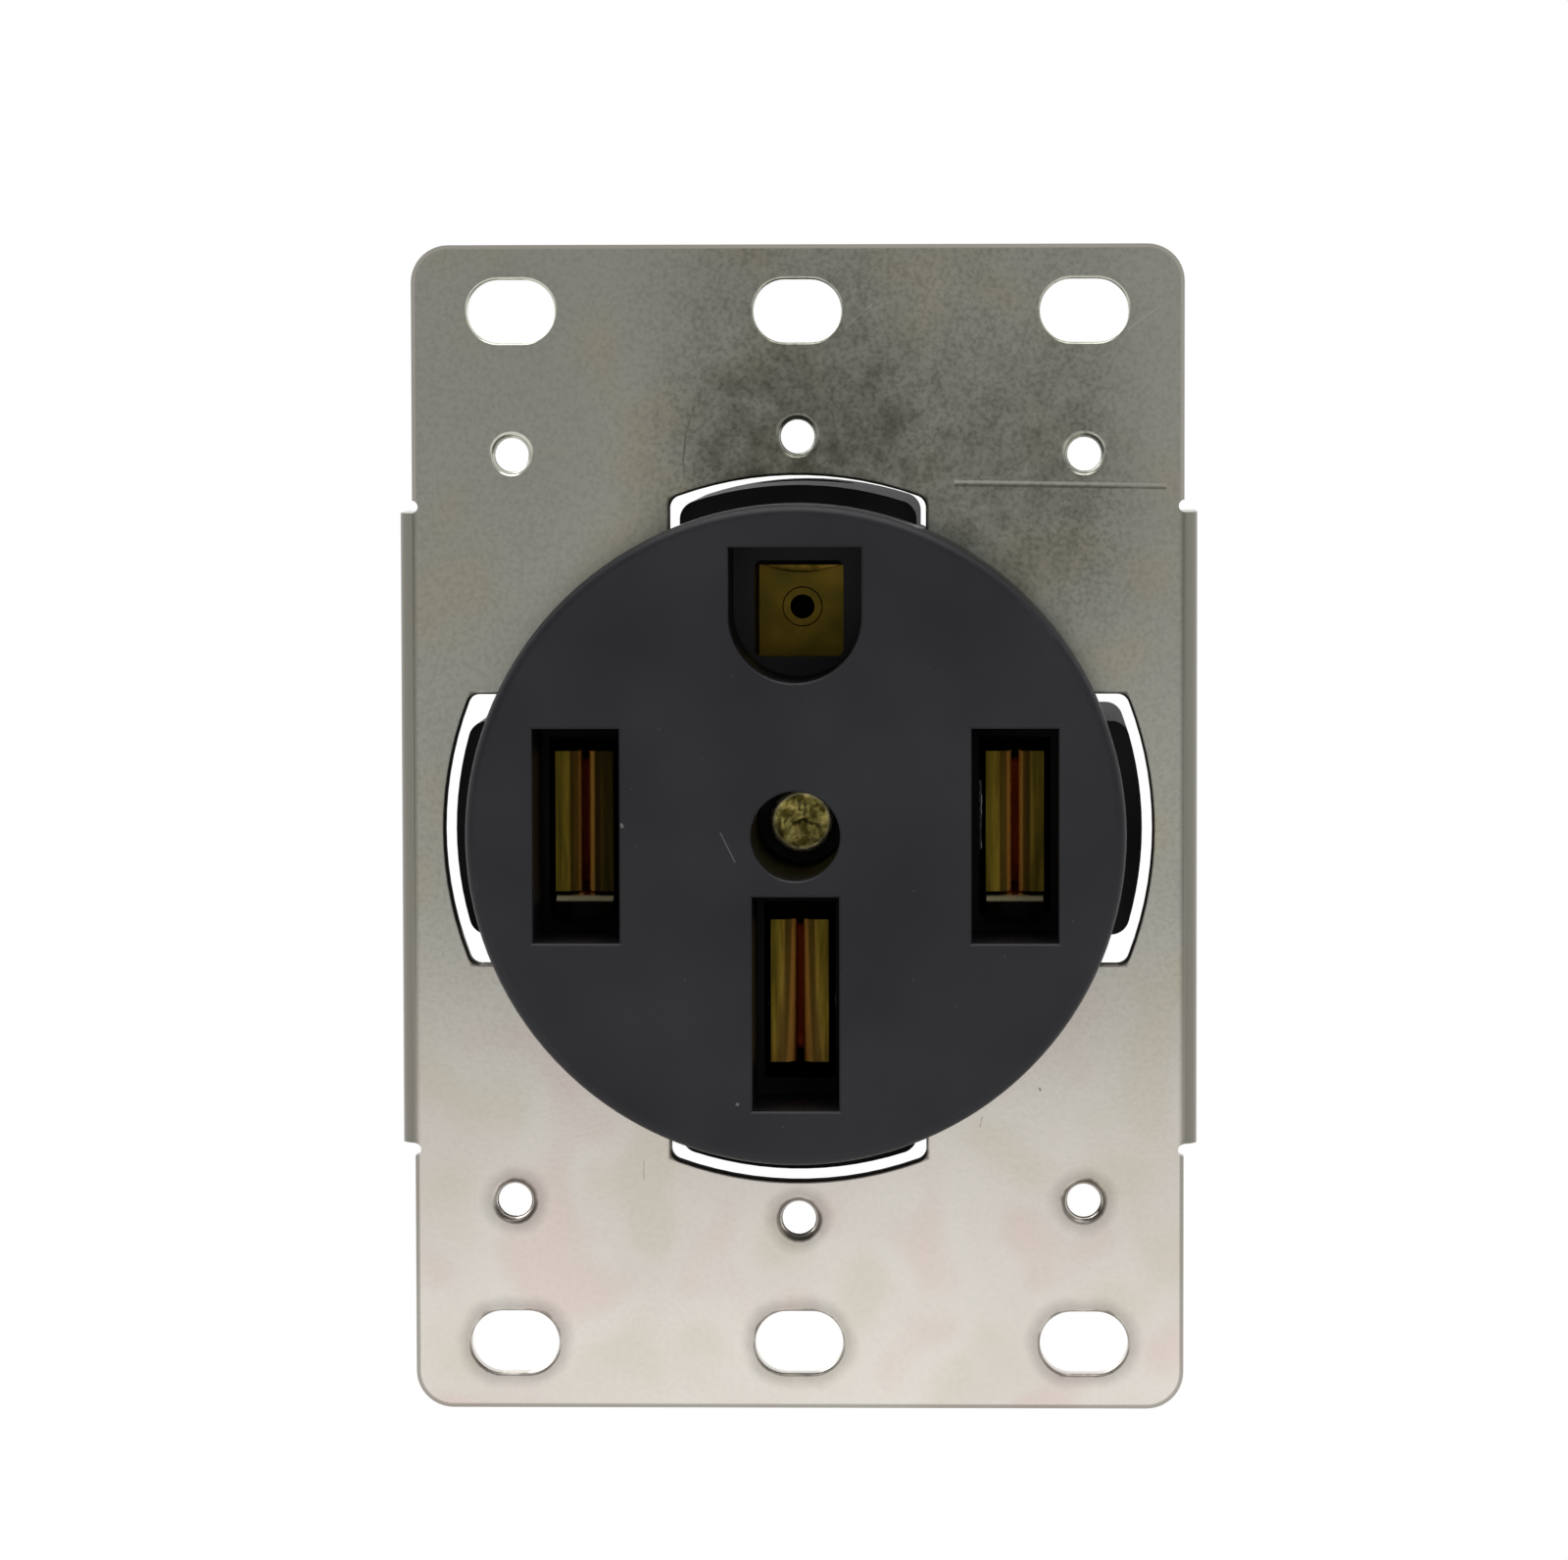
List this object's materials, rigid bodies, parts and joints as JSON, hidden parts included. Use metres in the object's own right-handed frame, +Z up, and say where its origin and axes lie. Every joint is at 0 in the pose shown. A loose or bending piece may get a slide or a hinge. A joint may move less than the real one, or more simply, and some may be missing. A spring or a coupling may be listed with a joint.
{
  "type": "industrial socket",
  "caption": "Flush power socket with a round black face, flat blade slots and a round-bottomed ground opening, on a plated steel mounting strap with slotted holes.",
  "frame": {"origin": "centre of the pattern of box screws, on the rear face of the mounting strap", "axes": "+X to the right and +Z up as seen on the wall with the ground opening at the top, +Y into the wall"},
  "size_m": [0.0644, 0.041, 0.094],
  "materials": {
    "strap_steel": "dull zinc plate",
    "face_moulding": "satin black moulding",
    "body_moulding": "matt black moulding",
    "contact_brass": "rolled sheet, dull",
    "lug_aluminium": "extruded, tin plated",
    "screw_brass": "turned and plated",
    "screw_nickel": "nickel plate",
    "screw_green": "green dyed plate",
    "washer_zinc": "zinc plate"
  },
  "bodies": {
    "root": {"mounting_strap": "strap_steel", "face_cover": "face_moulding", "base_housing": "body_moulding", "terminal_cover": "body_moulding", "line_x_contact": "contact_brass", "line_y_contact": "contact_brass", "neutral_contact": "contact_brass", "ground_contact": "contact_brass", "bonding_strip": "contact_brass", "ground_rivet": "contact_brass", "line_x_lug": "lug_aluminium", "line_y_lug": "lug_aluminium", "neutral_lug": "lug_aluminium", "ground_lug": "lug_aluminium", "line_x_set_screw": "screw_brass", "line_y_set_screw": "screw_brass", "neutral_set_screw": "screw_nickel", "ground_set_screw": "screw_green", "thread_insert": "screw_brass", "assembly_screw": "screw_brass", "screw_washer": "washer_zinc"}
  },
  "joints": []
}
